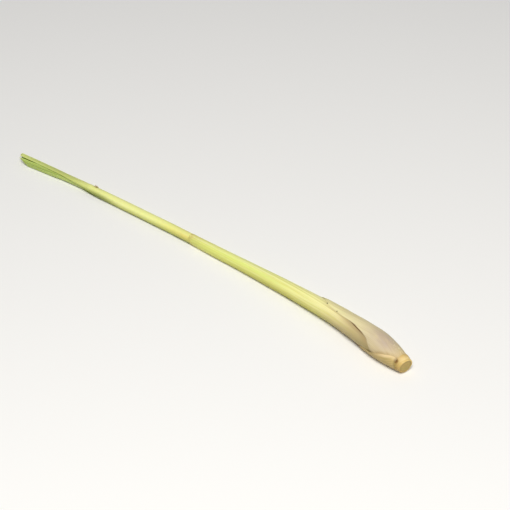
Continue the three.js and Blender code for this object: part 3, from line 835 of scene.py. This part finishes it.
def stemRows():  # (along, radius) from the middle of the cut face to the tip inside the leaves
    rows = []
    count = stem["rows"]
    for share in np.linspace(0, 1, count["cut"]):
        radius = max(share * stem["ringRadius"], stem["pith"])
        step = ramp(radius, stem["discRadius"] - 0.1, stem["discRadius"] + 0.2)
        dip = stem["ringDip"] * step * (1 - ramp(radius, *stem["ringRises"]))
        inside = stem["recess"] * (1 - step) - dip
        rows.append((inside - stem["bulge"], radius))
    for share in np.linspace(0, 1, count["rim"])[1:]:
        angle = share * math.pi / 2
        turnedBack = (0.5 - 0.5 * math.cos(angle)) * (1 + 2 * stem["bulge"])
        rows.append((turnedBack - stem["bulge"], stem["ringRadius"] + stem["rim"] * math.sin(angle)))
    for along in np.linspace(stem["stubFrom"], stalk["nodeAt"], count["stub"]):
        rows.append((along, float(stalk["stubRadius"](along))))
    for start, end, layer in stem["seats"]:
        for along in np.linspace(start, end - stem["seatGap"], count["seat"]):
            rows.append((along, float(outerRadius(layer, along))))
    for along in np.linspace(stem["taperFrom"], stem["tipAt"] - stem["seatGap"], count["taper"]):
        rows.append((along, float(stem["taper"](along))))
    rows.append((stem["tipAt"], stem["pith"]))
    return np.array(rows)


def stemPiece(material):
    rows = stemRows()
    sides = stem["sides"]
    around = np.linspace(0, 360, sides, endpoint=False)[None, :]
    along = np.repeat(rows[:, :1], sides, 1)
    radius = np.repeat(rows[:, 1:], sides, 1)
    skin = ramp(along, *stem["skinFrom"]) * (1 - ramp(along, *stem["skinTo"]))
    fibres = stem["fibreHeight"] * (wander(around, 12, 5) + wander(around, 47, 6))
    fromNode = along - stem["nodeAt"] - 0.2 * wander(around, 120, 8)
    node = stem["nodeHeight"] * np.exp(-(fromNode / stem["nodeReach"]) ** 2)
    fromCrease = along - stem["creaseAt"] - 0.3 * wander(around, 90, 9)
    crease = stem["creaseDepth"] * np.exp(-(fromCrease / stem["creaseReach"]) ** 2)
    radius = radius + skin * (fibres + node - crease + nodeShoulder(along, around))
    cut = 1 - ramp(radius, stem["grainWithin"], stem["ringRadius"])
    grain = stem["grain"] * wander(radius * 9 + around / 60, 6, 12) * wander(around, 18, 13)
    onCut = along < stem["skinFrom"][0]
    along = along + np.where(onCut, np.maximum(grain * cut, -stem["grainDeepest"]), 0)
    turned = np.radians(around)
    rise, towards = stalk["footSlant"]
    slant = rise * radius * np.cos(turned - math.radians(towards)) * (1 - ramp(along, 0, stalk["nodeAt"]))
    points = place(along - slant, (radius * np.cos(turned), radius * np.sin(turned)))
    index = np.arange(len(rows) * sides).reshape(len(rows), sides)
    after = np.roll(index, -1, 1)
    faces = np.stack([index[:-1], index[1:], after[1:], after[:-1]], -1).reshape(-1, 4).tolist()
    faces += [index[0].tolist(), index[-1, ::-1].tolist()]
    maps = {"onStem": np.stack([along, radius, np.broadcast_to(around, along.shape)], -1).reshape(-1, 3)}
    piece = meshPiece("fine_stem", [points], faces, maps, material)
    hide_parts("stem")


def cutStem(finish):
    material, tree, principled = tissue("grassStemFreshCut", finish)
    on = addNode(tree, "Attribute", {"attribute_name": "onStem"}).outputs["Vector"]
    at = dict(zip(("along", "radius", "around"), addNode(tree, "SeparateXYZ", None, Vector=on).outputs))
    position = addNode(tree, "TexCoord").outputs["Object"]
    perMetre = [1 / (finish[size] * millimetre) for size in ("fibreSize", "tintSize", "dotSize")]
    fine = addNode(tree, "TexNoise", None, Vector=position, Scale=perMetre[0], Detail=3.0).outputs["Fac"]
    broad = addNode(tree, "TexNoise", None, Vector=position, Scale=perMetre[1], Detail=2.0).outputs["Fac"]
    dots = addNode(tree, "TexVoronoi", None, Vector=position, Scale=perMetre[2]).outputs["Distance"]
    mottle = stretched(tree, at["along"], at["around"], *finish["mottle"])
    skin = gradient(tree, at["along"], finish["skin"])
    skin = paint(tree, skin, finish["patches"], within(tree, mottle, 0.5, 0.75))
    lit = zone(tree, at, finish["litAt"])
    skin = paint(tree, skin, finish["lit"], lit, within(tree, at["along"], *finish["litFades"]))
    # painted shade: the stem skin's lower side is darker
    lowerShade = zone(tree, at, finish["lowerShadeAt"])
    skin = paint(tree, skin, finish["under"], lowerShade)
    # a brownish crease on the lower side, darkened with painted shade
    skin = paint(tree, skin, finish["crease"], zone(tree, at, finish["creaseAt"]))
    scar = times(tree, zone(tree, at, finish["scarAt"]), within(tree, fine, 0.1, 0.4))
    skin = paint(tree, skin, finish["scar"], within(tree, scar, 0.0, 0.7))
    cut = gradient(tree, at["radius"], finish["cut"])
    inHeart = within(tree, at["radius"], *finish["heartWithin"])
    cut = paint(tree, cut, finish["dots"], within(tree, dots, 0.32, 0.18), inHeart)
    cut = paint(tree, cut, finish["heart"], within(tree, broad, 0.45, 0.65), inHeart)
    # painted shade on the rind ring's lower side
    cut = paint(tree, cut, finish["rim"], lowerShade, within(tree, at["radius"], *finish["rimFrom"]))
    colour = blend(tree, within(tree, at["along"], *finish["skinFrom"]), cut, skin)
    fibreRelief = times(tree, fine, finish["fibreDepth"])
    height = mathNode(tree, "SUBTRACT", fibreRelief, times(tree, dots, finish["dotDepth"]))
    surface(tree, principled, finish, colour, height)
    return material


stemPiece(cutStem(freshCut))

studio = {
    "azimuth": 41.55, "elevation": 37, "lens": 105.33, "distance": 1100, "target": (36.11, 21.25, 5),  # mm
    "floor": 3.0, "floorColour": "#F8F8F7", "floorRoughness": 0.9,  # metres, as for the lights below
    "worldColour": "#F8F8FF", "worldStrength": 0.16,
    "key": {
        "azimuth": 44, "elevation": 55, "distance": 2.1, "size": 0.95, "power": 43, "colour": "#FFFDF8"},
    "fill": {
        "azimuth": 215, "elevation": 50, "distance": 1.5, "size": 1.2, "power": 0.8, "colour": "#FBFCFF"},
}


def awayFrom(azimuth, elevation):
    a, e = math.radians(azimuth), math.radians(elevation)
    return Vector((math.sin(a) * math.cos(e), -math.cos(a) * math.cos(e), math.sin(e)))


def aimed(obj, target, azimuth, elevation, distance):
    away = awayFrom(azimuth, elevation)
    obj.location = target + away * distance
    obj.rotation_euler = (-away).to_track_quat("-Z", "Y").to_euler()
    bpy.context.scene.collection.objects.link(obj)


def makeCamera():
    camera = bpy.data.objects.new("camera", bpy.data.cameras.new("camera"))
    camera.data.lens = studio["lens"]
    target = Vector(studio["target"]) * millimetre
    aimed(camera, target, studio["azimuth"], studio["elevation"], studio["distance"] * millimetre)
    bpy.context.scene.camera = camera


def makeLight(name):
    settings = studio[name]
    light = bpy.data.lights.new(name, "AREA")
    light.size = settings["size"]
    light.energy = settings["power"]
    light.color = linear(settings["colour"])[:3]
    lamp = bpy.data.objects.new(name, light)
    aimed(lamp, Vector(), settings["azimuth"], settings["elevation"], settings["distance"])


def makeFloor():
    half = studio["floor"] / 2
    mesh = bpy.data.meshes.new("floor")
    corners = [(-half, -half, 0), (half, -half, 0), (half, half, 0), (-half, half, 0)]
    mesh.from_pydata(corners, [], [(0, 1, 2, 3)])
    material = bpy.data.materials.new("paintedFloorMatt")
    material.use_nodes = True
    principled = material.node_tree.nodes["Principled BSDF"]
    principled.inputs["Base Color"].default_value = linear(studio["floorColour"])
    principled.inputs["Roughness"].default_value = studio["floorRoughness"]
    mesh.materials.append(material)
    floor = bpy.data.objects.new("floor", mesh)
    bpy.context.scene.collection.objects.link(floor)


def makeWorld():
    world = bpy.data.worlds.new("softWhite")
    world.use_nodes = True
    background = world.node_tree.nodes["Background"]
    background.inputs["Color"].default_value = linear(studio["worldColour"])
    background.inputs["Strength"].default_value = studio["worldStrength"]
    bpy.context.scene.world = world
    bpy.context.scene.view_settings.view_transform = "Standard"


makeCamera()
makeLight("key")
makeLight("fill")
makeFloor()
makeWorld()
print("camera, lights and floor made")
